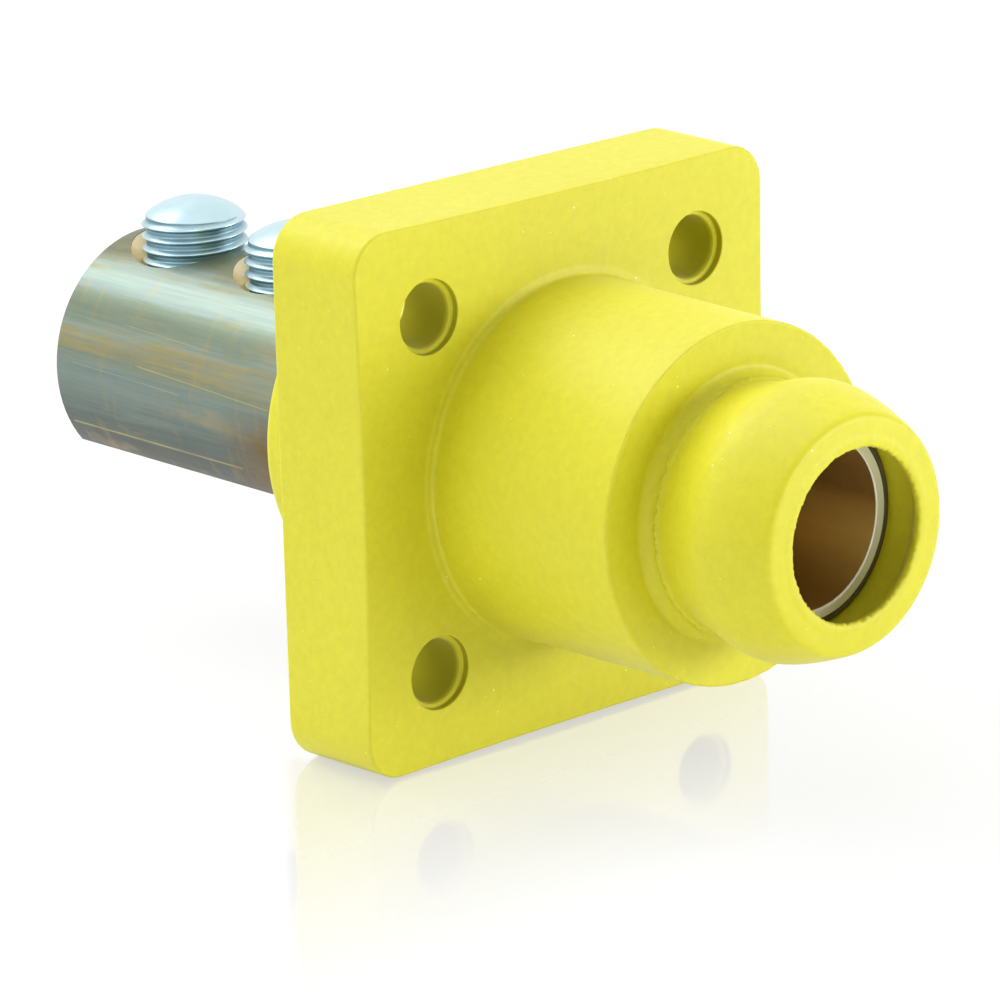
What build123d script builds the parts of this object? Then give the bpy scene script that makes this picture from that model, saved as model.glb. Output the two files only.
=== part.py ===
# Single-pole power receptacle for a panel, with a socket in front and a cable terminal behind.
#
# Frame: the origin is the centre of the square flange's back, on the panel's face. The axis of
# the socket and of the terminal is Y: the nose points to -Y and the terminal to +Y. Z is up.
# Every length is in millimetres.

import os
from math import radians, sqrt, tan

from build123d import *

# Flange
FLANGE_SIZE = 63.5            # side of the square at the panel, 2 1/2 in
FLANGE_THICKNESS = 13.5
FLANGE_DRAFT = 0.2            # how far each side leans in towards the front
FLANGE_CORNER_R = 4.9
FLANGE_EDGE_R = 0.3           # round of the front edge
FIXING_SPACING = 41.4         # square of four fixing holes, 1 5/8 in
FIXING_HOLE_D = 7.5
FIXING_SEAT_D = 8.6           # shallow seat at the front of each fixing hole
FIXING_SEAT_DEPTH = 0.9
BACK_LIP = 3.4                # width of the lip that bears on the panel
BACK_RECESS = 4.8             # depth of the hollow behind the flange
BACK_CORNER_R = 2.5

# Hub and spigot
HUB_D_BASE = 42.4
HUB_D_TIP = 41.4
HUB_LENGTH = 27.5
HUB_BASE_FILLET = 0.4
HUB_TIP_EDGE_R = 0.2
SPIGOT_D = 42.8
SPIGOT_LENGTH = 15.0          # what passes through the panel
SPIGOT_EDGE_R = 1.0

# Nose
NOSE_LENGTH = 17.7
NOSE_WAIST_D = 28.7
NOSE_WAIST_LENGTH = 2.4       # straight root, from the hub's end
NOSE_ROOT_R = 1.2
NOSE_BULGE_D = 31.8
NOSE_BULGE_AT = 9.5           # from the hub's end to the widest place
NOSE_FACE_D = 26.9            # edge of the flat front
NOSE_FACE_EDGE_R = 0.3
MOUTH_D = 19.7
MOUTH_LAND = 0.6              # length of the mouth's straight edge
MOUTH_EDGE_R = 0.25
CAVITY_D = 24.0               # undercut between the mouth and the contact

# Contact
CONTACT_SET_BACK = 6.2        # from the mouth to the contact's face
CONTACT_STANDS_OUT = 1.0      # how far the contact stands into the cavity
BARREL_D = 23.6
BARREL_EDGE = 0.6             # bevel round the barrel's face, across the face
BARREL_EDGE_DEPTH = 0.15      # and along the barrel
SOCKET_D = 19.6
SOCKET_EDGE = 0.12            # chamfer inside the barrel's face
SOCKET_GUIDE = 16.0           # length of the bore that guides the plug
SOCKET_RELIEF_D = 20.2
SOCKET_DEPTH = 38.0
TERMINAL_D = 29.8
TERMINAL_REACH = 61.3         # from the panel's face to the terminal's end
TERMINAL_EDGE = 0.25
COLLAR_DEPTH = 6.0            # how far the full diameter reaches in front of the panel's face
FLAT_HEIGHT = 9.5             # from the axis down to the flat
FLAT_START = 8.5              # from the panel's face
GROOVE_START = 1.5            # retaining groove, from the panel's face
GROOVE_WIDTH = 4.0
GROOVE_DEPTH = 1.4
CABLE_BORE_D = 14.6
CABLE_BORE_DEPTH = 39.0
CABLE_EDGE = 0.8
DRILL_POINT = 118.0           # degrees, at the bottom of both bores
MOULDING_CLEARANCE = 0.05     # between the moulding and the contact, all round

# Cam pin
CAM_PIN_D = 4.0
CAM_PIN_BEHIND_GUIDE = 5.0    # from the guide's end to the pin's axis
CAM_PIN_REACH = 2.8           # how far it stands into the socket
CAM_PIN_SUNK = 0.1            # below the barrel's outside
CAM_PIN_EDGE = 0.3

# Set screws
SCREW_D = 12.7                # 1/2 in
SCREW_LENGTH = 12.7
SCREW_DOME = 3.0
SCREW_POINT_EDGE = 0.9
SCREW_TOP = 5.45              # from the terminal's crest up to the dome's crown
SCREW_SPACING = 19.05         # 3/4 in
SCREW_FROM_END = 9.5          # from the terminal's end to the rear screw's axis
SCREW_CLEARANCE = 0.08        # between the screw and its hole, all round
COUNTERSINK_D = 17.0          # at the terminal's crest
COUNTERSINK_ANGLE = 60.0

NEAR = 0.01                   # how closely an edge is looked for

# Places along the axis
flange_front = -FLANGE_THICKNESS
hub_front = flange_front - HUB_LENGTH
mouth = hub_front - NOSE_LENGTH
contact_face = mouth + CONTACT_SET_BACK
guide_end = contact_face + SOCKET_GUIDE
socket_end = contact_face + SOCKET_DEPTH
collar_face = -COLLAR_DEPTH
groove_end = GROOVE_START + GROOVE_WIDTH
cable_bore_end = TERMINAL_REACH - CABLE_BORE_DEPTH
cam_pin_at = guide_end + CAM_PIN_BEHIND_GUIDE
screw_rear_at = TERMINAL_REACH - SCREW_FROM_END
screw_front_at = screw_rear_at - SCREW_SPACING


def drill_point_length(diameter):
    """Length of the cone that a drill leaves at the bottom of a bore."""
    return diameter / 2 / tan(radians(DRILL_POINT / 2))


def contact_outline(clearance, front, rear):
    """Half section of the contact's outside, or of the hollow that holds it."""
    barrel_r = BARREL_D / 2 + clearance
    terminal_r = TERMINAL_D / 2 + clearance
    groove_r = terminal_r - GROOVE_DEPTH
    return [
        (0, front),
        (barrel_r, front),
        (barrel_r, collar_face - clearance),
        (terminal_r, collar_face - clearance),
        (terminal_r, GROOVE_START + clearance),
        (groove_r, GROOVE_START + clearance),
        (groove_r, groove_end - clearance),
        (terminal_r, groove_end - clearance),
        (terminal_r, rear),
        (0, rear),
    ]


def rims(edges, place):
    """Groups of round edges at one place along the axis, the narrowest first."""
    here = edges.filter_by(GeomType.CIRCLE).filter_by_position(Axis.Y, place - NEAR, place + NEAR)
    return here.group_by(SortBy.RADIUS)


# Housing: flange, hub, nose and spigot are one moulding.
with BuildPart() as housing:
    # The flange leans in towards the front, as it has to leave its mould.
    front_size = FLANGE_SIZE - 2 * FLANGE_DRAFT
    with BuildSketch(Plane.XZ):
        RectangleRounded(FLANGE_SIZE, FLANGE_SIZE, FLANGE_CORNER_R)
    with BuildSketch(Plane.XZ.offset(FLANGE_THICKNESS)):
        RectangleRounded(front_size, front_size, FLANGE_CORNER_R - FLANGE_DRAFT)
    loft(ruled=True)
    fillet(housing.faces().sort_by(Axis.Y)[0].edges(), FLANGE_EDGE_R)

    # The back is hollow, so that only a lip bears on the panel.
    with BuildSketch(Plane.XZ):
        RectangleRounded(FLANGE_SIZE - 2 * BACK_LIP, FLANGE_SIZE - 2 * BACK_LIP, BACK_CORNER_R)
    extrude(amount=BACK_RECESS, mode=Mode.SUBTRACT)

    # Spigot, hub and nose, turned about the axis.
    with BuildSketch(Plane.XY):
        with BuildLine():
            Polyline(
                (0, SPIGOT_LENGTH),
                (SPIGOT_D / 2, SPIGOT_LENGTH),
                (SPIGOT_D / 2, flange_front + FLANGE_EDGE_R),
                (HUB_D_BASE / 2, flange_front),
                (HUB_D_TIP / 2, hub_front),
                (NOSE_WAIST_D / 2, hub_front),
                (NOSE_WAIST_D / 2, hub_front - NOSE_WAIST_LENGTH),
            )
            ThreePointArc(
                (NOSE_WAIST_D / 2, hub_front - NOSE_WAIST_LENGTH),
                (NOSE_BULGE_D / 2, hub_front - NOSE_BULGE_AT),
                (NOSE_FACE_D / 2, mouth),
            )
            Polyline((NOSE_FACE_D / 2, mouth), (0, mouth), (0, SPIGOT_LENGTH))
        make_face()
    revolve(axis=Axis.Y)
    spigot_end = housing.faces().sort_by(Axis.Y)[-1]
    fillet(spigot_end.edges(), SPIGOT_EDGE_R)
    fillet(rims(housing.edges(), flange_front)[-1], HUB_BASE_FILLET)
    fillet(rims(housing.edges(), hub_front)[-1], HUB_TIP_EDGE_R)
    fillet(rims(housing.edges(), hub_front)[0], NOSE_ROOT_R)
    fillet(rims(housing.edges(), mouth)[-1], NOSE_FACE_EDGE_R)

    # The hollow that holds the contact, then the undercut cavity and the mouth in front of it.
    contact_seat = contact_face + CONTACT_STANDS_OUT
    cavity_start = mouth + MOUTH_LAND
    cavity_flare = (CAVITY_D - MOUTH_D) / 2
    with BuildSketch(Plane.XY):
        with BuildLine():
            Polyline(*contact_outline(MOULDING_CLEARANCE, contact_seat, SPIGOT_LENGTH), close=True)
        make_face()
        with BuildLine():
            Polyline(
                (0, mouth),
                (MOUTH_D / 2, mouth),
                (MOUTH_D / 2, cavity_start),
                (CAVITY_D / 2, cavity_start + cavity_flare),
                (CAVITY_D / 2, contact_seat),
                (0, contact_seat),
                close=True,
            )
        make_face()
    revolve(axis=Axis.Y, mode=Mode.SUBTRACT)
    fillet(rims(housing.edges(), mouth)[0], MOUTH_EDGE_R)

    # Moulded material fills in under the terminal's flat, which keeps the contact from turning.
    with BuildSketch(Plane.XZ.offset(-SPIGOT_LENGTH)):
        Circle(TERMINAL_D / 2 + MOULDING_CLEARANCE)
        with Locations((0, TERMINAL_D / 2 - FLAT_HEIGHT - MOULDING_CLEARANCE)):
            Rectangle(SPIGOT_D, TERMINAL_D, mode=Mode.SUBTRACT)
    extrude(amount=SPIGOT_LENGTH - FLAT_START - MOULDING_CLEARANCE)

    # Four fixing holes, each with a shallow seat.
    with Locations(Plane.XZ.offset(FLANGE_THICKNESS)):
        with GridLocations(FIXING_SPACING, FIXING_SPACING, 2, 2):
            CounterBoreHole(FIXING_HOLE_D / 2, FIXING_SEAT_D / 2, FIXING_SEAT_DEPTH, FLANGE_THICKNESS)
housing.part.label = "housing"

# Contact: one turned brass bar, bored from both ends.
with BuildPart() as contact:
    with BuildSketch(Plane.XY):
        with BuildLine():
            Polyline(*contact_outline(0, contact_face, TERMINAL_REACH), close=True)
        make_face()
    revolve(axis=Axis.Y)
    barrel_face = contact.faces().sort_by(Axis.Y)[0]
    chamfer(barrel_face.edges(), BARREL_EDGE, BARREL_EDGE_DEPTH, reference=barrel_face)
    chamfer(contact.faces().sort_by(Axis.Y)[-1].edges(), TERMINAL_EDGE)

    # Socket bore: the guide, then a relief in which the pin stands.
    socket_r = SOCKET_D / 2
    relief_r = SOCKET_RELIEF_D / 2
    cable_r = CABLE_BORE_D / 2
    with BuildSketch(Plane.XY):
        with BuildLine():
            Polyline(
                (0, contact_face),
                (socket_r + SOCKET_EDGE, contact_face),
                (socket_r, contact_face + SOCKET_EDGE),
                (socket_r, guide_end),
                (relief_r, guide_end),
                (relief_r, socket_end),
                (0, socket_end + drill_point_length(SOCKET_RELIEF_D)),
                close=True,
            )
        make_face()
        # Cable bore, open at the rear.
        with BuildLine():
            Polyline(
                (0, TERMINAL_REACH),
                (cable_r + CABLE_EDGE, TERMINAL_REACH),
                (cable_r, TERMINAL_REACH - CABLE_EDGE),
                (cable_r, cable_bore_end),
                (0, cable_bore_end - drill_point_length(CABLE_BORE_D)),
                close=True,
            )
        make_face()
    revolve(axis=Axis.Y, mode=Mode.SUBTRACT)

    # Flat under the terminal.
    flat_length = TERMINAL_REACH - FLAT_START
    with BuildSketch(Plane.XY.offset(-FLAT_HEIGHT)):
        with Locations((0, FLAT_START + flat_length / 2)):
            Rectangle(TERMINAL_D, flat_length)
    extrude(amount=-TERMINAL_D, mode=Mode.SUBTRACT)

    # Tapped holes, countersunk from above.
    with Locations(Plane.XY.offset(TERMINAL_D / 2)):
        with Locations((0, screw_rear_at), (0, screw_front_at)):
            CounterSinkHole(
                SCREW_D / 2 + SCREW_CLEARANCE,
                COUNTERSINK_D / 2,
                TERMINAL_D / 2,
                COUNTERSINK_ANGLE,
            )

    # Hole for the cam pin, through the socket's upper wall.
    with BuildSketch(Plane.XY):
        with Locations((0, cam_pin_at)):
            Circle(CAM_PIN_D / 2)
    extrude(amount=BARREL_D / 2, mode=Mode.SUBTRACT)
contact.part.label = "contact"

# Cam pin: a dowel, its outer end just below the barrel's outside.
cam_pin_tip = relief_r - CAM_PIN_REACH
cam_pin_head = sqrt((BARREL_D / 2) ** 2 - (CAM_PIN_D / 2) ** 2) - CAM_PIN_SUNK
with BuildPart() as cam_pin:
    with BuildSketch(Plane.XY.offset(cam_pin_tip)):
        with Locations((0, cam_pin_at)):
            Circle(CAM_PIN_D / 2)
    extrude(amount=cam_pin_head - cam_pin_tip)
    chamfer(cam_pin.faces().sort_by(Axis.Z)[0].edges(), CAM_PIN_EDGE)
cam_pin.part.label = "cam_pin"

os.makedirs("parts", exist_ok=True)
export_step(housing.part, "parts/housing.step")
export_step(contact.part, "parts/contact.step")
export_step(cam_pin.part, "parts/cam_pin.step")

# Set screws: the same screw twice, standing out of the terminal as supplied.
crown = TERMINAL_D / 2 + SCREW_TOP
point = crown - SCREW_LENGTH
dome_base = crown - SCREW_DOME
dome_r = ((SCREW_D / 2) ** 2 + SCREW_DOME ** 2) / (2 * SCREW_DOME)
for name, place in (("set_screw_rear", screw_rear_at), ("set_screw_front", screw_front_at)):
    with BuildPart() as set_screw:
        with BuildSketch(Plane.XZ.offset(-place)):
            with BuildLine():
                Polyline(
                    (0, crown),
                    (0, point),
                    (SCREW_D / 2 - SCREW_POINT_EDGE, point),
                    (SCREW_D / 2, point + SCREW_POINT_EDGE),
                    (SCREW_D / 2, dome_base),
                )
                RadiusArc((SCREW_D / 2, dome_base), (0, crown), -dome_r)
            make_face()
        revolve(axis=Axis((0, place, 0), (0, 0, 1)))
    set_screw.part.label = name
    export_step(set_screw.part, f"parts/{name}.step")
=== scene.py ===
import math

import bmesh
import bpy
from mathutils import Matrix, Vector, noise


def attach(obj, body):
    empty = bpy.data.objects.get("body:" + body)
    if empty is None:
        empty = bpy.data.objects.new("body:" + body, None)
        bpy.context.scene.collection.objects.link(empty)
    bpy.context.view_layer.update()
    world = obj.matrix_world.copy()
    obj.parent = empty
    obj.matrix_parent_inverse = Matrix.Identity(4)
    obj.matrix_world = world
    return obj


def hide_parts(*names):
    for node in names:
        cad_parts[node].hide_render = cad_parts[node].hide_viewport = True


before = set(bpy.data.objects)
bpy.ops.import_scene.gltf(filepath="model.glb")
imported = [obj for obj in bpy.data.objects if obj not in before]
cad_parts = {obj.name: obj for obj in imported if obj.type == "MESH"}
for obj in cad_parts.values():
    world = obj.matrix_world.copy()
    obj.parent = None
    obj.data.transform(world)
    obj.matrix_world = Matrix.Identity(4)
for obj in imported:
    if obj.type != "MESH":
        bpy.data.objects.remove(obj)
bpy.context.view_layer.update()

MM = 0.001


# Camera: a long lens, to the left of the nose and above it, tilted a little as in the
# photograph. Lengths are in millimetres from the centre of the flange's back.
camera_place = Vector((-448.66, -493.60, 190.03))
camera_yaw, camera_pitch, camera_roll = (math.radians(a) for a in (42.36, -16.511, -1.613))
camera_lens = 216.15
camera_sensor = 36
camera_sees_from, camera_sees_to = 50, 20000

forward = Vector((
    math.sin(camera_yaw) * math.cos(camera_pitch),
    math.cos(camera_yaw) * math.cos(camera_pitch),
    math.sin(camera_pitch),
))
level = Vector((math.cos(camera_yaw), -math.sin(camera_yaw), 0))
upright = level.cross(forward)
across = level * math.cos(camera_roll) + upright * math.sin(camera_roll)
above = upright * math.cos(camera_roll) - level * math.sin(camera_roll)

camera_data = bpy.data.cameras.new("camera")
camera_data.lens, camera_data.sensor_width = camera_lens, camera_sensor
camera_data.clip_start, camera_data.clip_end = camera_sees_from * MM, camera_sees_to * MM
camera = bpy.data.objects.new("camera", camera_data)
camera_turn = Matrix((across, above, -forward)).transposed().to_4x4()
camera.matrix_world = Matrix.Translation(camera_place * MM) @ camera_turn
bpy.context.collection.objects.link(camera)
bpy.context.scene.camera = camera


# Studio: a sheet of coated white card, on which the flange's lower edge stands. Soft boxes
# stand high at the rear, low in front to the right, to the left, and a small one in front.
def linear(code):
    """An sRGB hex colour as the linear colour that a shader takes."""
    parts = [int(code[i:i + 2], 16) / 255 for i in (1, 3, 5)]
    return (*(c / 12.92 if c <= 0.04045 else ((c + 0.055) / 1.055) ** 2.4 for c in parts), 1)


def add(tree, kind, inputs={}, **settings):
    """Adds a node, sets it, and fills its inputs with values, sockets or other nodes' results."""
    made = tree.nodes.new(kind)
    for name, value in settings.items():
        setattr(made, name, value)
    for name, value in inputs.items():
        if isinstance(value, bpy.types.Node):
            value = next(result for result in value.outputs if result.enabled)
        if isinstance(value, bpy.types.NodeSocket):
            tree.links.new(value, made.inputs[name])
        else:
            made.inputs[name].default_value = value
    return made


def blank_material(name):
    """A new material and its node tree, which is empty."""
    material = bpy.data.materials.new(name)
    material.use_nodes = True
    material.node_tree.nodes.clear()
    return material, material.node_tree


def background_rays(tree):
    """1 for the rays that see the background, straight or in metal and glass, and 0 for light."""
    rays = add(tree, "ShaderNodeLightPath").outputs
    seen = add(tree, "ShaderNodeMath", {
        0: rays["Is Camera Ray"], 1: rays["Is Glossy Ray"],
    }, operation="MAXIMUM")
    return add(tree, "ShaderNodeMath", {
        0: seen, 1: rays["Is Transmission Ray"],
    }, operation="MAXIMUM")


floor_drop = 31.75
floor_half = 4000
floor_white = 0.87               # how far the card looks plain white, whatever light falls on it
card_colour = "#F8F8F8"
shine_from, shine_to = -60, 20   # the strip along the flange's foot that is wiped to a shine
shine_full_from, shine_full_to = -14.4, 0  # where it is wiped most
shine_share = 0.35
shine_roughness = 0.07
shine_across = (0.763, -0.6465, 0)  # square to the left end of the strip
shine_start = -24.6              # where it starts in that direction
shine_edge = 1.0

# Coated card: pale all over, with the shadow of what stands on it, and a mirror where it has
# been wiped to a shine.
card, tree = blank_material("coated_white_card")
place = add(tree, "ShaderNodeTexCoord").outputs["Object"]
paper = add(tree, "ShaderNodeBsdfDiffuse", {"Color": linear(card_colour)})
white = add(tree, "ShaderNodeEmission", {"Color": (1, 1, 1, 1), "Strength": 1.0})
white_share = add(tree, "ShaderNodeMath", {
    0: background_rays(tree), 1: floor_white,
}, operation="MULTIPLY")
bright = add(tree, "ShaderNodeMixShader", {0: white_share, 1: paper, 2: white})
strip = add(tree, "ShaderNodeMapRange", {
    "Value": add(tree, "ShaderNodeSeparateXYZ", {0: place}).outputs["Y"],
    "From Min": shine_from * MM, "From Max": shine_to * MM,
})
wiped = add(tree, "ShaderNodeValToRGB", {"Fac": strip})
wiped.color_ramp.elements[0].color = wiped.color_ramp.elements[1].color = (0, 0, 0, 1)
for y in (shine_full_from, shine_full_to):
    at = (y - shine_from) / (shine_to - shine_from)
    wiped.color_ramp.elements.new(at).color = (shine_share, shine_share, shine_share, 1)
from_end = add(tree, "ShaderNodeVectorMath", {0: place, 1: shine_across}, operation="DOT_PRODUCT")
past_end = add(tree, "ShaderNodeMapRange", {
    "Value": from_end,
    "From Min": (shine_start - shine_edge) * MM, "From Max": (shine_start + shine_edge) * MM,
})
wiped = add(tree, "ShaderNodeMath", {0: wiped, 1: past_end}, operation="MULTIPLY")
shine = add(tree, "ShaderNodeBsdfAnisotropic", {
    "Color": (1, 1, 1, 1), "Roughness": shine_roughness,
})
surface = add(tree, "ShaderNodeMixShader", {0: wiped, 1: bright, 2: shine})
add(tree, "ShaderNodeOutputMaterial", {"Surface": surface})

floor_mesh = bpy.data.meshes.new("floor")
corners = [(x * floor_half * MM, y * floor_half * MM, -floor_drop * MM)
           for x, y in ((-1, -1), (1, -1), (1, 1), (-1, 1))]
floor_mesh.from_pydata(corners, [], [(0, 1, 2, 3)])
floor_mesh.materials.append(card)
floor = bpy.data.objects.new("floor", floor_mesh)
bpy.context.collection.objects.link(floor)

# The room: white to look at. What light it gives comes mostly from above and a little behind.
overhead_from = (0, 0.42, 0.908)
overhead_strength = 3.6
overhead_narrow = 4.0
room_strength = 0.09

world = bpy.data.worlds.new("studio")
world.use_nodes = True
tree = world.node_tree
tree.nodes.clear()
towards = add(tree, "ShaderNodeTexCoord").outputs["Generated"]
overhead = add(tree, "ShaderNodeVectorMath", {
    0: towards, 1: overhead_from,
}, operation="DOT_PRODUCT")
overhead = add(tree, "ShaderNodeMath", {0: overhead, 1: 0.0}, operation="MAXIMUM")
overhead = add(tree, "ShaderNodeMath", {0: overhead, 1: overhead_narrow}, operation="POWER")
light = add(tree, "ShaderNodeMath", {
    0: overhead, 1: overhead_strength, 2: room_strength,
}, operation="MULTIPLY_ADD")
room = add(tree, "ShaderNodeBackground", {"Color": (1, 1, 1, 1), "Strength": light})
white = add(tree, "ShaderNodeBackground", {"Color": (1, 1, 1, 1), "Strength": 1.0})
mixed = add(tree, "ShaderNodeMixShader", {0: background_rays(tree), 1: room, 2: white})
add(tree, "ShaderNodeOutputWorld", {"Surface": mixed})
bpy.context.scene.world = world
bpy.context.scene.view_settings.view_transform = "Standard"

boxes = {
    # name: place, aimed at, width, height, watts
    "rear_box": ((-180, 585, 660), (0, 0, 0), 430, 430, 1.2),
    "right_box": ((520, -800, 115), (0, -20, 0), 900, 270, 5.4),
    "left_box": ((-880, 330, 380), (0, 0, 0), 420, 420, 1.3),
    "front_box": ((-620, -600, 260), (0, -20, 0), 220, 220, 0.35),
}
for name, (place, aim, width, height, watts) in boxes.items():
    lamp_data = bpy.data.lights.new(name, "AREA")
    lamp_data.shape, lamp_data.energy = "RECTANGLE", watts
    lamp_data.size, lamp_data.size_y = width * MM, height * MM
    lamp = bpy.data.objects.new(name, lamp_data)
    lamp.location = Vector(place) * MM
    lamp.rotation_euler = (Vector(aim) - Vector(place)).to_track_quat("-Z", "Y").to_euler()
    bpy.context.collection.objects.link(lamp)


# Housing: one moulding in yellow thermoplastic elastomer, flange, hub, nose and spigot. Its
# edges come out of the mould with a thin flash at the nose's root, the hub's front and the mouth.
flange_half = 31.75
flange_depth = 13.5
flange_draft = 0.2
flange_corner = 4.9
flange_bows = (0.25, 0.25, 0.35, 0.25)  # how far the right, upper, left and lower sides draw in
lip_width = 3.4
back_recess = 4.8
back_corner = 2.5
hole_place = 20.7
hole_r = 3.75
seat_r = 4.3
seat_depth = 0.9
hub_root, hub_run, hub_front = 14.2, 26.4, 41.0
hub_root_r, hub_taper = 21.18, 0.48
fill_below, fill_r = 9.55, 15.25  # the fill under the terminal's flat: from the axis, and its round
fill_from, fill_to, fill_edge = 8.55, 14.96, 0.1
fill_steps = 12
ragged_notches, ragged_nicks, ragged_wavers = 31, 74, 43  # to a radian of a ragged edge
nick_share, waver_share = 0.6, 0.7
turned_steps = 320
hole_steps = 56
corner_steps, side_steps = 10, 18


def ring(mesh, points):
    """A closed loop of new vertices."""
    return [mesh.verts.new(p) for p in points]


def wall(mesh, loops):
    """Quads between each loop of vertices and the next."""
    for low, high in zip(loops, loops[1:]):
        for i in range(len(low)):
            j = (i + 1) % len(low)
            mesh.faces.new((low[i], low[j], high[j], high[i]))


def cover(mesh, loops):
    """Fills a flat face that has these loops as its outline and its holes."""
    edges = []
    for loop in loops:
        for pair in zip(loop, loop[1:] + loop[:1]):
            edges.append(mesh.edges.get(pair) or mesh.edges.new(pair))
    bmesh.ops.triangle_fill(mesh, use_beauty=True, edges=edges, normal=(0, -1, 0))


def turned(mesh, profile, steps):
    """Loops about the Y axis, one for each (radius, y, raggedness) of a profile."""
    loops = []
    for radius, y, ragged in profile:
        points = []
        for i in range(steps):
            a = 2 * math.pi * i / steps
            unit = Vector((math.cos(a), 0, math.sin(a)))
            notches = noise.noise(unit * ragged_notches + Vector((0, y * 2.1, 3)))
            nicks = noise.noise(unit * ragged_nicks + Vector((0, y * 3, 9)))
            waver = noise.noise(unit * ragged_wavers + Vector((7, y, 0)))
            r = radius + ragged * (notches + nick_share * nicks)
            points.append(unit * r + Vector((0, y + waver_share * ragged * waver, 0)))
        loops.append(ring(mesh, points))
    return loops


def arc(centre, radius, start, stop, steps):
    """Smooth profile points on an arc, angles in degrees from +radius towards +y."""
    made = []
    for i in range(steps + 1):
        a = math.radians(start + (stop - start) * i / steps)
        made.append((centre[0] + radius * math.cos(a), centre[1] + radius * math.sin(a), 0))
    return made


def rounded_square(half, corner, y, bows=(0, 0, 0, 0)):
    """Points round a square with rounded corners in a plane of constant y."""
    straight = half - corner
    points = []
    for quarter, bow in enumerate(bows):
        turn = Matrix.Rotation(-math.pi / 2 * quarter, 3, "Y")
        for i in range(side_steps):
            z = straight * (2 * i / side_steps - 1)
            points.append(turn @ Vector((half - bow * (1 - (z / straight) ** 2), y, z)))
        for i in range(corner_steps):
            a = math.pi / 2 * i / corner_steps
            x, z = straight + corner * math.cos(a), straight + corner * math.sin(a)
            points.append(turn @ Vector((x, y, z)))
    return points


def finished(name, mesh, material, body, weighted=True):
    """Turns a mesh in millimetres into a smooth object that rides on a body."""
    bmesh.ops.recalc_face_normals(mesh, faces=mesh.faces)
    bmesh.ops.scale(mesh, vec=(MM, MM, MM), verts=mesh.verts)
    data = bpy.data.meshes.new(name)
    mesh.to_mesh(data)
    mesh.free()
    data.shade_smooth()
    data.materials.append(material)
    made = bpy.data.objects.new(name, data)
    bpy.context.collection.objects.link(made)
    if weighted:
        weigh = made.modifiers.new("weighted_normals", "WEIGHTED_NORMAL")
        weigh.weight = 100
    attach(made, body)
    return made


moulding = bmesh.new()

# What is round, from the flange's face forward over the nose, in at the mouth and back to the
# floor of the recess. Each point is its radius, its place along the axis, and how ragged it is.
round_profile = [
    # the flange's face, and the low bead round the hub's root
    (22.45, -flange_depth, 0), (22.3, -13.51, 0.01), (22.12, -13.55, 0.02),
    (21.95, -13.61, 0.03), (21.75, -13.65, 0.02), (21.55, -13.67, 0.01),
]
round_profile += arc((21.6, -14.09), 0.42, 85, 180, 5)[1:]
for along in (0.02, 0.1, 0.2, 0.3, 0.4, 0.5, 0.6, 0.7, 0.8, 0.9, 0.97):
    round_profile.append((hub_root_r - hub_taper * along, -hub_root - hub_run * along, 0))
round_profile += [
    # the hub's front edge, with its flash
    (20.71, -40.6, 0.01), (20.7, -40.78, 0.03), (20.66, -40.92, 0.1), (20.55, -41.01, 0.08),
    (20.4, -41.04, 0.03), (20.2, -41.02, 0.01),
    # the ring face round the nose, and the nose's root
    (19.4, -41.0, 0), (18.2, -41.0, 0), (17.0, -40.98, 0), (16.3, -40.94, 0.01),
    (15.95, -40.88, 0.02), (15.7, -40.86, 0.03), (15.45, -40.95, 0.03), (15.12, -41.12, 0.02),
    (14.82, -41.38, 0.02), (14.62, -41.7, 0.02), (14.5, -42.02, 0.03), (14.47, -42.22, 0.1),
    # the flash at the root
    (14.55, -42.34, 0.22), (14.68, -42.42, 0.34), (14.6, -42.52, 0.24), (14.42, -42.6, 0.1),
    (14.31, -42.74, 0.04), (14.29, -43.0, 0.01),
]
nose_line = (
    # forward of the hub, radius
    (2.4, 14.31), (3.0, 14.38), (3.6, 14.5), (4.3, 14.66), (5.0, 14.86), (5.8, 15.1),
    (6.6, 15.34), (7.4, 15.57), (8.2, 15.75), (9.0, 15.86), (9.8, 15.9), (10.7, 15.82),
    (11.7, 15.62), (12.7, 15.35), (13.6, 15.08), (14.5, 14.78), (15.3, 14.48), (16.0, 14.2),
    (16.6, 13.98), (17.1, 13.76), (17.45, 13.56), (17.66, 13.34),
)
round_profile += [(radius, -hub_front - ahead, 0) for ahead, radius in nose_line]
round_profile += [
    # the nose's front, and the lip of the mouth with its flash
    (13.08, -58.78, 0), (12.6, -58.84, 0), (11.9, -58.87, 0), (11.5, -58.89, 0.02),
    (11.2, -58.92, 0.03), (11.0, -58.97, 0.05), (10.85, -59.0, 0.05), (10.65, -59.02, 0.04),
    (10.4, -59.02, 0.04), (10.15, -58.98, 0.06), (9.95, -58.9, 0.15), (9.84, -58.74, 0.27),
    (9.82, -58.5, 0.1), (9.86, -58.2, 0.04),
    # the undercut between the mouth and the contact
    (10.0, -58.0, 0.02), (10.5, -57.5, 0), (11.1, -56.9, 0), (11.6, -56.4, 0),
    (11.88, -56.08, 0), (12.0, -55.7, 0), (12.0, -54.4, 0), (12.0, -53.0, 0),
    (12.0, -51.7, 0), (11.95, -51.5, 0),
    # the hollow that the contact fills
    (11.85, -51.5, 0), (11.85, -30.0, 0), (11.85, -6.05, 0), (14.95, -6.05, 0),
    (14.95, 1.55, 0), (13.55, 1.55, 0), (13.55, 5.45, 0), (14.95, 5.45, 0),
    # the spigot's end, its side, and the fillet at the floor of the recess
    (14.95, 14.85, 0.02), (15.1, 15.0, 0.02), (17.7, 15.0, 0), (20.3, 15.0, 0),
]
round_profile += arc((20.4, 14.0), 1.0, 84, 6, 5)
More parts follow.
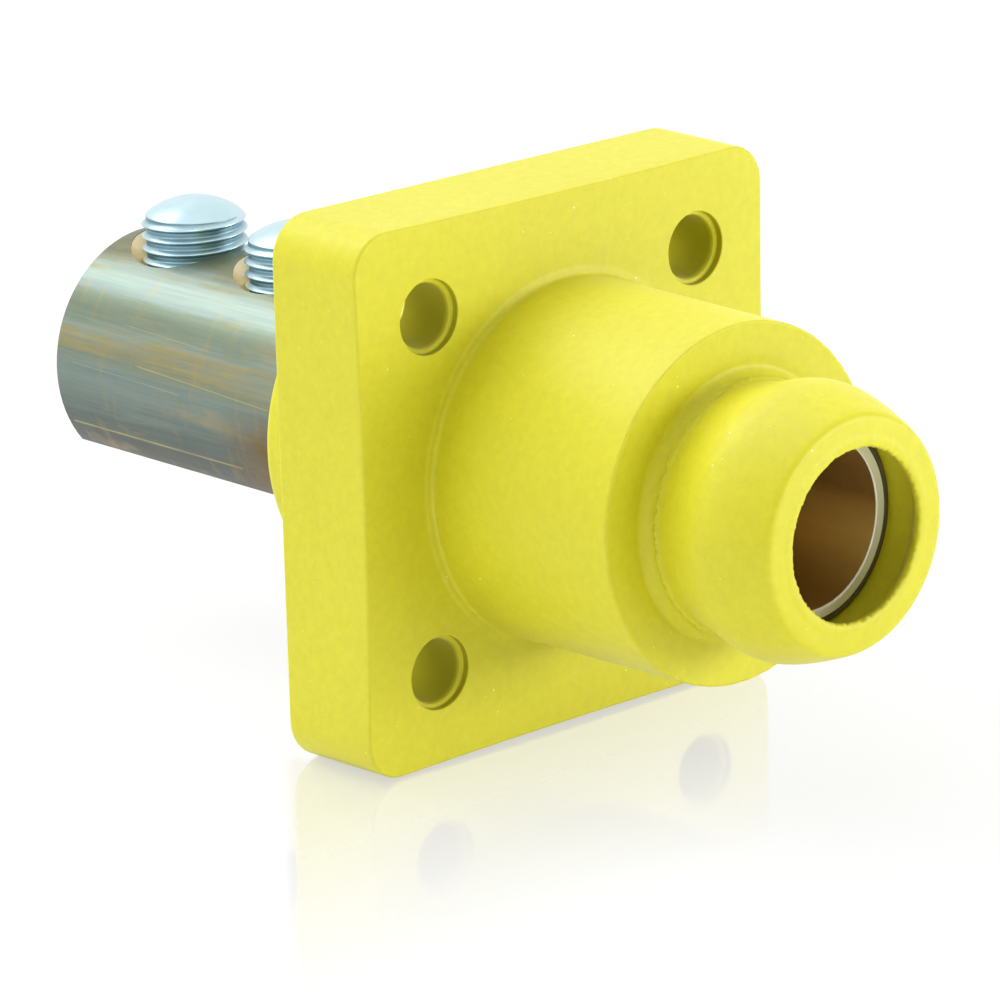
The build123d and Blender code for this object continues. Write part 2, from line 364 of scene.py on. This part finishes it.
round_profile += [
    (21.4, 13.8, 0), (21.4, 8.0, 0), (21.4, 2.0, 0), (21.4, -3.8, 0), (21.45, -4.3, 0),
    (21.6, -4.6, 0), (21.9, -4.78, 0), (22.3, -back_recess, 0),
]
core = turned(moulding, round_profile, turned_steps)
wall(moulding, core)

# The four fixing holes, each with a shallow seat.
seat_floor = -flange_depth + seat_depth
hole_profile = (
    # radius, place along the axis
    (seat_r + 0.17, -flange_depth), (seat_r + 0.1, -flange_depth + 0.01),
    (seat_r + 0.04, -flange_depth + 0.06), (seat_r + 0.01, -flange_depth + 0.16),
    (seat_r, -flange_depth + 0.3), (seat_r, seat_floor - 0.25), (seat_r - 0.02, seat_floor - 0.12),
    (seat_r - 0.08, seat_floor - 0.04), (seat_r - 0.18, seat_floor),
    (hole_r + 0.17, seat_floor + 0.01), (hole_r + 0.09, seat_floor + 0.05),
    (hole_r + 0.03, seat_floor + 0.15), (hole_r, seat_floor + 0.35), (hole_r, -9.0),
    (hole_r + 0.07, -7.0), (hole_r + 0.2, -back_recess - 0.5), (hole_r + 0.27, -back_recess - 0.2),
    (hole_r + 0.37, -back_recess - 0.04), (hole_r + 0.5, -back_recess),
)
hole_ends = []
turns = [2 * math.pi * i / hole_steps for i in range(hole_steps)]
for x in (-hole_place, hole_place):
    for z in (-hole_place, hole_place):
        loops = []
        for radius, y in hole_profile:
            points = [(x + radius * math.cos(a), y, z + radius * math.sin(a)) for a in turns]
            loops.append(ring(moulding, points))
        wall(moulding, loops)
        hole_ends.append((loops[0], loops[-1]))

# The flange's sides, the lip on the panel and the recess behind, and the flat faces.
side_profile = (
    # inset, forward of the panel, share of the bow
    (0.34, flange_depth, 0.95), (0.2, 13.48, 0.97), (0.1, 13.41, 1), (0.03, 13.3, 1),
    (0.0, 13.12, 1), (-0.05, 10.0, 0.75), (-0.12, 5.0, 0.4), (-0.19, 0.4, 0.02),
    (-0.19, 0.14, 0), (-0.15, 0.03, 0), (-0.06, 0.0, 0),
)
recess_profile = (
    # outset, forward of the panel
    (0.15, 0.0), (0.03, 0.05), (0.0, 0.2), (0.0, 2.5), (0.0, 4.2), (-0.06, 4.55),
    (-0.25, 4.75), (-0.5, back_recess),
)
front_half, front_corner = flange_half - flange_draft, flange_corner - flange_draft
side_loops = []
for inset, ahead, share in side_profile:
    bows = [bow * share for bow in flange_bows]
    points = rounded_square(front_half - inset, front_corner - inset, -ahead, bows)
    side_loops.append(ring(moulding, points))
recess_half = flange_half - lip_width
recess_loops = []
for outset, ahead in recess_profile:
    points = rounded_square(recess_half + outset, back_corner + outset, -ahead)
    recess_loops.append(ring(moulding, points))
wall(moulding, side_loops)
wall(moulding, recess_loops)
cover(moulding, [side_loops[0], core[0]] + [front for front, back in hole_ends])
cover(moulding, [side_loops[-1], recess_loops[0]])
cover(moulding, [recess_loops[-1], core[-1]] + [back for front, back in hole_ends])

# The moulded fill under the terminal's flat.
half_turn = math.acos(fill_below / fill_r)
turns = [half_turn * i / fill_steps for i in range(-fill_steps, fill_steps + 1)]
fill_loops = []
for y in (fill_from, fill_to - fill_edge, fill_to):
    points = [(fill_r * math.sin(a), y, -fill_r * math.cos(a)) for a in turns]
    fill_loops.append(ring(moulding, points))
wall(moulding, fill_loops)
cover(moulding, [fill_loops[0]])
cover(moulding, [fill_loops[-1]])

# Thermoplastic elastomer, moulded: satin, a little dusty, with a fine grain from the mould,
# pale specks, and slow changes of tone where the melt flowed.
yellow, paler_yellow = "#D8D21F", "#DDD826"
flow_size, wave_size, wave_depth = 34, 8, 0.2
grain_size, bump_size, bump_depth = 1.1, 0.6, 0.05  # the mould's own grain is too fine to show
grain_darkest, grain_palest = 0.955, 1.04
noise_low, noise_high = 0.3, 0.7  # most of a noise lies between them
dust_tint = "#FFFFE0"
specks = (
    # cells of this size, share of them without a speck, radius of its middle, of its edge, colour
    (1.5, 0.65, 0.05, 0.11, "#F4F080"),
    (3.0, 0.5, 0.07, 0.16, "#FDFBB4"),
)

elastomer, tree = blank_material("moulded_yellow_elastomer")
place = add(tree, "ShaderNodeTexCoord").outputs["Object"]
flow = add(tree, "ShaderNodeTexNoise", {
    "Vector": place, "Scale": 1 / (flow_size * MM), "Detail": 3.0, "Roughness": 0.55,
})
tone = add(tree, "ShaderNodeValToRGB", {"Fac": flow})
tones = ((noise_low, yellow), (noise_high, paler_yellow))
for stop, (at, code) in zip(tone.color_ramp.elements, tones):
    stop.position, stop.color = at, linear(code)
mottle = add(tree, "ShaderNodeTexNoise", {
    "Vector": place, "Scale": 1 / (grain_size * MM), "Detail": 5.0, "Roughness": 0.65,
})
grain = add(tree, "ShaderNodeMapRange", {
    "Value": mottle, "From Min": noise_low, "From Max": noise_high,
    "To Min": grain_darkest, "To Max": grain_palest,
})
coloured = add(tree, "ShaderNodeVectorMath", {0: tone, "Scale": grain}, operation="SCALE")
for size, share, inner, outer, code in specks:
    cells = add(tree, "ShaderNodeTexVoronoi", {
        "Vector": place, "Scale": 1 / (size * MM), "Randomness": 1.0,
    })
    near = add(tree, "ShaderNodeMapRange", {
        "Value": cells.outputs["Distance"],
        "From Min": inner / size, "From Max": outer / size, "To Min": 1.0, "To Max": 0.0,
    })
    chance = add(tree, "ShaderNodeSeparateColor", {0: cells.outputs["Color"]})
    picked = add(tree, "ShaderNodeMath", {0: chance, 1: share}, operation="GREATER_THAN")
    speck = add(tree, "ShaderNodeMath", {0: near, 1: picked}, operation="MULTIPLY")
    coloured = add(tree, "ShaderNodeMix", {
        "Factor": speck, 6: coloured, 7: linear(code),
    }, data_type="RGBA")

# The fixing holes are dull inside, below their seats, and so is the seats' wall; there their colour
# is also darkened as painted shade.
hole_shade_colour = "#9A9400"
hole_shade_most = 0.75
hole_shade_from, hole_shade_to = -12.7, -11.8
hole_shade_below_face = 0.1
seat_edge, seat_wall_reach = 0.02, 0.04
open_rough, hole_dull_rough = 0.5, 1.0

spot = add(tree, "ShaderNodeSeparateXYZ", {0: place})
beside = {}
for axis in ("X", "Z"):
    folded = add(tree, "ShaderNodeMath", {0: spot.outputs[axis]}, operation="ABSOLUTE")
    beside[axis] = add(tree, "ShaderNodeMath", {
        0: folded, 1: hole_place * MM,
    }, operation="SUBTRACT")
beside_hole = add(tree, "ShaderNodeCombineXYZ", beside)
from_axis = add(tree, "ShaderNodeVectorMath", {0: beside_hole}, operation="LENGTH")
in_hole = add(tree, "ShaderNodeMath", {
    0: from_axis, 1: (seat_r + seat_edge) * MM,
}, operation="LESS_THAN")
deep = add(tree, "ShaderNodeMapRange", {
    "Value": spot.outputs["Y"], "From Min": hole_shade_from * MM, "From Max": hole_shade_to * MM,
})
hole_shade_and_dull = add(tree, "ShaderNodeMath", {0: in_hole, 1: deep}, operation="MULTIPLY")
seat_wall = add(tree, "ShaderNodeMath", {
    0: from_axis, 1: seat_r * MM, 2: seat_wall_reach * MM,
}, operation="COMPARE")
below_face = add(tree, "ShaderNodeMath", {
    0: spot.outputs["Y"], 1: (-flange_depth + hole_shade_below_face) * MM,
}, operation="GREATER_THAN")
seat_wall_shade = add(tree, "ShaderNodeMath", {0: seat_wall, 1: below_face}, operation="MULTIPLY")
hole_shade_and_dull = add(tree, "ShaderNodeMath", {0: hole_shade_and_dull, 1: seat_wall_shade}, operation="MAXIMUM")
hole_shade_share = add(tree, "ShaderNodeMath", {0: hole_shade_and_dull, 1: hole_shade_most}, operation="MULTIPLY")
# painted shade: the holes' colour is darkened towards their depth and on the seats' wall
coloured = add(tree, "ShaderNodeMix", {
    "Factor": hole_shade_share, 6: coloured, 7: linear(hole_shade_colour),
}, data_type="RGBA")
dull = add(tree, "ShaderNodeMapRange", {
    "Value": hole_shade_and_dull, "To Min": open_rough, "To Max": hole_dull_rough,
})

bumps = add(tree, "ShaderNodeTexNoise", {
    "Vector": place, "Scale": 1 / (bump_size * MM), "Detail": 4.0, "Roughness": 0.6,
})
fine_bump = add(tree, "ShaderNodeBump", {
    "Height": bumps, "Strength": 0.5, "Distance": bump_depth * MM,
})
waves = add(tree, "ShaderNodeTexNoise", {
    "Vector": place, "Scale": 1 / (wave_size * MM), "Detail": 2.0,
})
slow_bump = add(tree, "ShaderNodeBump", {
    "Height": waves, "Strength": 0.3, "Distance": wave_depth * MM, "Normal": fine_bump,
})
surface = add(tree, "ShaderNodeBsdfPrincipled", {
    "Base Color": coloured, "Roughness": dull, "IOR": 1.5, "Normal": slow_bump,
    "Sheen Weight": 0.2, "Sheen Roughness": 0.35, "Sheen Tint": linear(dust_tint),
})
add(tree, "ShaderNodeOutputMaterial", {"Surface": surface})

housing = finished("housing_moulding", moulding, elastomer, "receptacle")
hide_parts("housing")


# Contact: turned in one piece from drawn brass bar, the socket in the nose and the terminal
# behind, and held by the housing that is moulded round it. The terminal has tarnished in bands,
# with painted shade darkening it towards its underside; the countersinks show fresher brass, the
# socket's face is plated and its bore has gone brown.
terminal_r = 14.9
socket_from, socket_face = -10, -52.5
plated_r = 10.95                 # of the plated part of the socket's face
skin, face_skin = 0.12, 0.2      # how deep the bar's and the face's own colours go

# Turned brass, tarnished: a dull metal, grey-green with golden streaks, that carries a pale band of
# light along it. Its colour is painted darker towards the underside as shade.
tarnish_and_shade = (
    # share of the way up the bar, colour
    (0.2, "#52564E"), (0.33, "#65706A"), (0.46, "#7C8A82"), (0.55, "#82928A"), (0.6, "#87907A"),
    (0.63, "#9D976C"), (0.655, "#8C9685"), (0.68, "#A09A70"), (0.705, "#92A092"),
    (0.76, "#84927F"), (0.815, "#83917E"), (0.855, "#8A9B94"), (0.905, "#8C9B91"),
    (0.935, "#8A9079"), (0.98, "#7F846A"),
)
streak_size, patch_size = 1.8, 7
streak_sway, patch_sway = 0.24, 0.08  # how far they shift a band, as a share of the way up
fine_size, mark_size = 0.5, 0.5  # the drawn bar's lines and the tool's are too fine to show
streak_squeeze, fine_squeeze, mark_squeeze = 0.05, 0.03, 0.02
fine_darkest, fine_palest = 0.9, 1.09
mark_depth = 0.03
golden = "#AE9A66"
golden_edge = 0.17
golden_streaks = (
    # squeezed along each axis, moved, size, where the noise turns golden, share at most
    ((1, 0.3, 1), (0.3, 0.1, 0.7), 4.5, 0.55, 0.5),
    ((0.22, 1, 0.22), (0.9, 0.4, 0.2), 2.2, 0.56, 0.48),
    ((1, 0.12, 1), (0.5, 0.8, 0.1), 1.2, 0.6, 0.4),
)
scratch_from_y = 60
scratch_core, scratch_most = 0.35, 1.1  # share of the width that is clear, and its strength
scratches = (
    # degrees from the top towards -X at that y, degrees more for each mm forward, from y, to y,
    # width, colour
    (116, 0.0, 28.5, 60, 0.2, "#C2B46A"),
    (76, 0.161, 22, 46, 0.1, "#BDB588"),
    (60, 0.12, 34, 50, 0.07, "#B5AE84"),
    (84, 0.1, 38, 58, 0.07, "#A9AC93"),
)
flange_brown, brown_most = "#7A6238", 2.1
brown_from, brown_full, brown_edge = 32, 20, 3
tan_cut = "#EBDDB2"
bore_brown, bore_darker, bore_painted_light = "#C69F5C", "#9E7C44", "#FFE088"
light_strip_at, light_strip_full, light_strip_to = -4.3, 0.8, 5.5  # a painted strip of light along the bore
# painted shade: the bevel round the plated face is coloured dark
painted_gap_shade, plate_pale = "#5A544E", "#FFFFF2"
bar_metal, socket_metal, face_metal = 0.93, 0.48, 0.18
bar_rough = 0.29

brass, tree = blank_material("tarnished_turned_brass")
place = add(tree, "ShaderNodeTexCoord").outputs["Object"]
spot = add(tree, "ShaderNodeSeparateXYZ", {0: place})
across_bar = add(tree, "ShaderNodeCombineXYZ", {"X": spot.outputs["X"], "Z": spot.outputs["Z"]})
radius = add(tree, "ShaderNodeVectorMath", {0: across_bar}, operation="LENGTH")

# The tarnish lies in bands by height round the bar, which wander and break up along it.
# The lowest bands are painted shade.
along_bar = add(tree, "ShaderNodeMapping", {"Vector": place, "Scale": (1, streak_squeeze, 1)})
streaks = add(tree, "ShaderNodeTexNoise", {
    "Vector": along_bar, "Scale": 1 / (streak_size * MM), "Detail": 5.0, "Roughness": 0.65,
})
patches = add(tree, "ShaderNodeTexNoise", {
    "Vector": place, "Scale": 1 / (patch_size * MM), "Detail": 5.0, "Roughness": 0.65,
})
height = add(tree, "ShaderNodeMapRange", {
    "Value": spot.outputs["Z"], "From Min": -terminal_r * MM, "From Max": terminal_r * MM,
})
shift = add(tree, "ShaderNodeMath", {
    0: streaks, 1: streak_sway, 2: height,
}, operation="MULTIPLY_ADD")
shift = add(tree, "ShaderNodeMath", {
    0: patches, 1: patch_sway, 2: shift,
}, operation="MULTIPLY_ADD")
band = add(tree, "ShaderNodeMath", {
    0: shift, 1: (streak_sway + patch_sway) / 2,
}, operation="SUBTRACT")
bands = add(tree, "ShaderNodeValToRGB", {"Fac": band})
stops = bands.color_ramp.elements
for stop, (at, code) in zip(stops, (tarnish_and_shade[0], tarnish_and_shade[-1])):
    stop.position, stop.color = at, linear(code)
for at, code in tarnish_and_shade[1:-1]:
    stops.new(at).color = linear(code)
along_bar = add(tree, "ShaderNodeMapping", {"Vector": place, "Scale": (1, fine_squeeze, 1)})
fine_streaks = add(tree, "ShaderNodeTexNoise", {
    "Vector": along_bar, "Scale": 1 / (fine_size * MM), "Detail": 4.0, "Roughness": 0.7,
})
shade = add(tree, "ShaderNodeMapRange", {
    "Value": fine_streaks, "From Min": noise_low, "From Max": noise_high,
    "To Min": fine_darkest, "To Max": fine_palest,
})
bar = add(tree, "ShaderNodeVectorMath", {0: bands, "Scale": shade}, operation="SCALE")
for squeeze, moved, size, least, most in golden_streaks:
    squeezed = add(tree, "ShaderNodeMapping", {
        "Vector": place, "Scale": squeeze, "Location": moved,
    })
    clouds = add(tree, "ShaderNodeTexNoise", {
        "Vector": squeezed, "Scale": 1 / (size * MM), "Detail": 6.0, "Roughness": 0.7,
    })
    share = add(tree, "ShaderNodeMapRange", {
        "Value": clouds, "From Min": least, "From Max": least + golden_edge,
        "To Min": 0.0, "To Max": most,
    })
    bar = add(tree, "ShaderNodeMix", {
        "Factor": share, 6: bar, 7: linear(golden),
    }, data_type="RGBA")

# Long scratches, nearly along the bar, that break up with the patches.
minus_x = add(tree, "ShaderNodeMath", {0: spot.outputs["X"], 1: -1.0}, operation="MULTIPLY")
turn = add(tree, "ShaderNodeMath", {0: minus_x, 1: spot.outputs["Z"]}, operation="ARCTAN2")
for degrees, lean, first, last, width, code in scratches:
    slope = math.radians(lean) / MM
    start = math.radians(degrees) + slope * scratch_from_y * MM
    line = add(tree, "ShaderNodeMath", {
        0: spot.outputs["Y"], 1: slope, 2: -start,
    }, operation="MULTIPLY_ADD")
    off_line = add(tree, "ShaderNodeMath", {0: turn, 1: line}, operation="ADD")
    off_line = add(tree, "ShaderNodeMath", {0: off_line}, operation="ABSOLUTE")
    scratch = add(tree, "ShaderNodeMapRange", {
        "Value": off_line,
        "From Min": scratch_core * width / terminal_r, "From Max": width / terminal_r,
        "To Min": scratch_most, "To Max": 0.0,
    })
    began = add(tree, "ShaderNodeMath", {
        0: spot.outputs["Y"], 1: first * MM,
    }, operation="GREATER_THAN")
    ended = add(tree, "ShaderNodeMath", {0: spot.outputs["Y"], 1: last * MM}, operation="LESS_THAN")
    for broken in (patches, began, ended):
        scratch = add(tree, "ShaderNodeMath", {0: scratch, 1: broken}, operation="MULTIPLY")
    bar = add(tree, "ShaderNodeMix", {
        "Factor": scratch, 6: bar, 7: linear(code),
    }, data_type="RGBA")

# Near the flange the bar's lower half has gone brown.
near_flange = add(tree, "ShaderNodeMapRange", {
    "Value": spot.outputs["Y"],
    "From Min": brown_from * MM, "From Max": brown_full * MM,
    "To Min": 0.0, "To Max": brown_most,
})
low = add(tree, "ShaderNodeMapRange", {
    "Value": spot.outputs["Z"], "From Min": brown_edge * MM, "From Max": -brown_edge * MM,
})
browned = add(tree, "ShaderNodeMath", {0: near_flange, 1: low}, operation="MULTIPLY")
browned = add(tree, "ShaderNodeMath", {0: browned, 1: patches}, operation="MULTIPLY")
bar = add(tree, "ShaderNodeMix", {
    "Factor": browned, 6: bar, 7: linear(flange_brown),
}, data_type="RGBA")

# Cuts show tan brass inside the bar's surface: the tapped holes, their countersinks, the cable's
# bore and the terminal's end.
inside = add(tree, "ShaderNodeMath", {
    0: radius, 1: (terminal_r - skin) * MM,
}, operation="LESS_THAN")
behind = add(tree, "ShaderNodeMix", {
    "Factor": inside, 6: bar, 7: linear(tan_cut),
}, data_type="RGBA")

# The socket: a brown bore with a painted strip of light along it, a plated face, and a bevel round
# it painted dark as shade.
in_front = add(tree, "ShaderNodeMath", {
    0: spot.outputs["Y"], 1: socket_from * MM,
}, operation="LESS_THAN")
brown = add(tree, "ShaderNodeMix", {
    "Factor": patches, 6: linear(bore_brown), 7: linear(bore_darker),
}, data_type="RGBA")
# painted light: a brighter strip along the bore's lower part
off_light_strip = add(tree, "ShaderNodeMath", {0: spot.outputs["Z"], 1: -light_strip_at * MM}, operation="ADD")
off_light_strip = add(tree, "ShaderNodeMath", {0: off_light_strip}, operation="ABSOLUTE")
painted_light_strip = add(tree, "ShaderNodeMapRange", {
    "Value": off_light_strip,
    "From Min": light_strip_full * MM, "From Max": light_strip_to * MM, "To Min": 1.0, "To Max": 0.0,
})
bore = add(tree, "ShaderNodeMix", {
    "Factor": painted_light_strip, 6: brown, 7: linear(bore_painted_light),
}, data_type="RGBA")
coloured = add(tree, "ShaderNodeMix", {"Factor": in_front, 6: behind, 7: bore}, data_type="RGBA")
at_face = add(tree, "ShaderNodeMath", {
    0: spot.outputs["Y"], 1: (socket_face + face_skin) * MM,
}, operation="LESS_THAN")
plated = add(tree, "ShaderNodeMath", {0: radius, 1: plated_r * MM}, operation="LESS_THAN")
# painted shade on the bevel outside the plated part of the face
face = add(tree, "ShaderNodeMix", {
    "Factor": plated, 6: linear(painted_gap_shade), 7: linear(plate_pale),
}, data_type="RGBA")
coloured = add(tree, "ShaderNodeMix", {"Factor": at_face, 6: coloured, 7: face}, data_type="RGBA")

# Nearly bare metal behind, half hidden by a brown film in the socket, and matt plate on its face.
metal = add(tree, "ShaderNodeMath", {
    0: in_front, 1: socket_metal - bar_metal, 2: bar_metal,
}, operation="MULTIPLY_ADD")
metal = add(tree, "ShaderNodeMath", {
    0: at_face, 1: face_metal - socket_metal, 2: metal,
}, operation="MULTIPLY_ADD")
round_bar = add(tree, "ShaderNodeMapping", {
    "Vector": place, "Scale": (mark_squeeze, 1, mark_squeeze),
})
tool_marks = add(tree, "ShaderNodeTexNoise", {
    "Vector": round_bar, "Scale": 1 / (mark_size * MM), "Detail": 3.0,
})
mark_bump = add(tree, "ShaderNodeBump", {
    "Height": tool_marks, "Strength": 0.25, "Distance": mark_depth * MM,
})
surface = add(tree, "ShaderNodeBsdfPrincipled", {
    "Base Color": coloured, "Metallic": metal, "Roughness": bar_rough, "Normal": mark_bump,
})
add(tree, "ShaderNodeOutputMaterial", {"Surface": surface})
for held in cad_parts["contact"].material_slots:
    held.material = brass


# Cam pin: a steel dowel, ground to size and pressed through the wall of the socket, on which a
# plug locks with a part turn.
pin_colour = "#A8A6A2"
pin_bright, pin_smeared = 0.25, 0.45
smear_size = 1.5

# Ground steel: plain grey and fairly bright, with smears where it is duller.
steel, tree = blank_material("ground_steel")
place = add(tree, "ShaderNodeTexCoord").outputs["Object"]
smears = add(tree, "ShaderNodeTexNoise", {
    "Vector": place, "Scale": 1 / (smear_size * MM), "Detail": 3.0,
})
rough = add(tree, "ShaderNodeMapRange", {
    "Value": smears, "To Min": pin_bright, "To Max": pin_smeared,
})
surface = add(tree, "ShaderNodeBsdfPrincipled", {
    "Base Color": linear(pin_colour), "Metallic": 1.0, "Roughness": rough,
})
add(tree, "ShaderNodeOutputMaterial", {"Surface": surface})
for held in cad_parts["cam_pin"].material_slots:
    held.material = steel


# Set screws: two steel screws of half an inch with a fine thread and a plain domed head, zinc
# plated. They stand in the terminal's tapped holes and clamp the cable.
screw_r = 6.35
screw_pitch = 1.5
thread_start = 0.466             # of a turn, which brings the crests to their place
thread_depth = 0.55
thread_crest_r = 6.42
thread_crest, thread_flank = 0.03, 0.28  # half the crest's width, and the flank's, in pitches
dome_height = 3.0
dome_fullness = 1.6              # 2 is an ellipse, and less is more pointed
screw_top = 20.45
screw_length = 12.7
point_height, point_r, point_middle_r = 0.9, 5.45, 3.0
screw_places = {
    # solid that it stands for: place along the bar, body
    "set_screw_rear": (51.8, "rear_screw"),
    "set_screw_front": (32.75, "front_screw"),
}
screw_steps = 160
pitch_steps = 22
dome_steps, crown_steps = 24, 14

# Bright zinc plate with a clear blue passivation: shiny and a little bluish, clouded, peened by
# the barrel that it was plated in, and painted darker in the thread's grooves as shade.
zinc_pale, zinc_paler, groove_shade_colour = "#C0DEE6", "#D6F0F6", "#668B99"
shade_line, shade_reach = 0.17, 0.2  # the darkest line of painted shade, in turns under the crest, and its reach
crest_rough, groove_rough = 0.27, 0.42
cloud_size = 3
peening_size, peening_depth = 0.7, 0.03  # the real dents are too fine to show

zinc, tree = blank_material("bright_zinc_plate")
place = add(tree, "ShaderNodeTexCoord").outputs["Object"]
cloud = add(tree, "ShaderNodeTexNoise", {
    "Vector": place, "Scale": 1 / (cloud_size * MM), "Detail": 3.0,
})
blue = add(tree, "ShaderNodeMix", {
    "Factor": cloud, 6: linear(zinc_pale), 7: linear(zinc_paler),
}, data_type="RGBA")
groove_shade = add(tree, "ShaderNodeAttribute", attribute_name="groove_shade").outputs["Fac"]
# painted shade in the thread's grooves
blue = add(tree, "ShaderNodeMix", {
    "Factor": groove_shade, 6: blue, 7: linear(groove_shade_colour),
}, data_type="RGBA")
rough = add(tree, "ShaderNodeMapRange", {
    "Value": groove_shade, "To Min": crest_rough, "To Max": groove_rough,
})
peening = add(tree, "ShaderNodeTexNoise", {
    "Vector": place, "Scale": 1 / (peening_size * MM), "Detail": 3.0,
})
peened = add(tree, "ShaderNodeBump", {
    "Height": peening, "Strength": 0.3, "Distance": peening_depth * MM,
})
surface = add(tree, "ShaderNodeBsdfPrincipled", {
    "Base Color": blue, "Metallic": 1.0, "Roughness": rough, "Normal": peened,
})
add(tree, "ShaderNodeOutputMaterial", {"Surface": surface})

# Levels down the screw: close together at the crown, and then so many to a turn of the thread.
point = screw_top - screw_length
rim = screw_top - dome_height
levels = [screw_top - dome_height * (k / dome_steps) ** 2 for k in range(1, crown_steps + 1)]
while levels[-1] > point + point_height:
    levels.append(levels[-1] - screw_pitch / pitch_steps)

angles = [2 * math.pi * i / screw_steps for i in range(screw_steps)]
for name, (y_place, body) in screw_places.items():
    screw = bmesh.new()
    groove_shade_layer = screw.verts.layers.float.new("groove_shade")
    rings = []
    for z in levels:
        share = max(0, z - rim) / dome_height
        dome = math.inf
        if share:
            dome = screw_r * (1 - share ** dome_fullness) ** (1 / dome_fullness)
        points, groove_shades = [], []
        for i, a in enumerate(angles):
            turn = z / screw_pitch - i / screw_steps + thread_start
            under_crest = 0.5 - turn % 1
            down_flank = min(1, max(0, abs(under_crest) - thread_crest) / thread_flank)
            thread = thread_crest_r - thread_depth * down_flank
            r = min(dome, thread)
            # painted shade: darkest in a line just under each crest, and dark again at the root
            dark = max(2 * abs(under_crest), 1 - abs(under_crest - shade_line) / shade_reach)
            groove_shades.append(dark if thread < dome else 0)
            points.append((r * math.cos(a), y_place + r * math.sin(a), z))
        rings.append(ring(screw, points))
        for vertex, depth in zip(rings[-1], groove_shades):
            vertex[groove_shade_layer] = depth
    for r in (point_r, point_middle_r):
        points = [(r * math.cos(a), y_place + r * math.sin(a), point) for a in angles]
        rings.append(ring(screw, points))
    wall(screw, rings)
    for end, z in ((rings[0], screw_top), (rings[-1], point)):
        tip = screw.verts.new((0, y_place, z))
        for i in range(screw_steps):
            screw.faces.new((end[i], end[(i + 1) % screw_steps], tip))
    made = finished(name + "_threaded", screw, zinc, body, weighted=False)
    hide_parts(name)
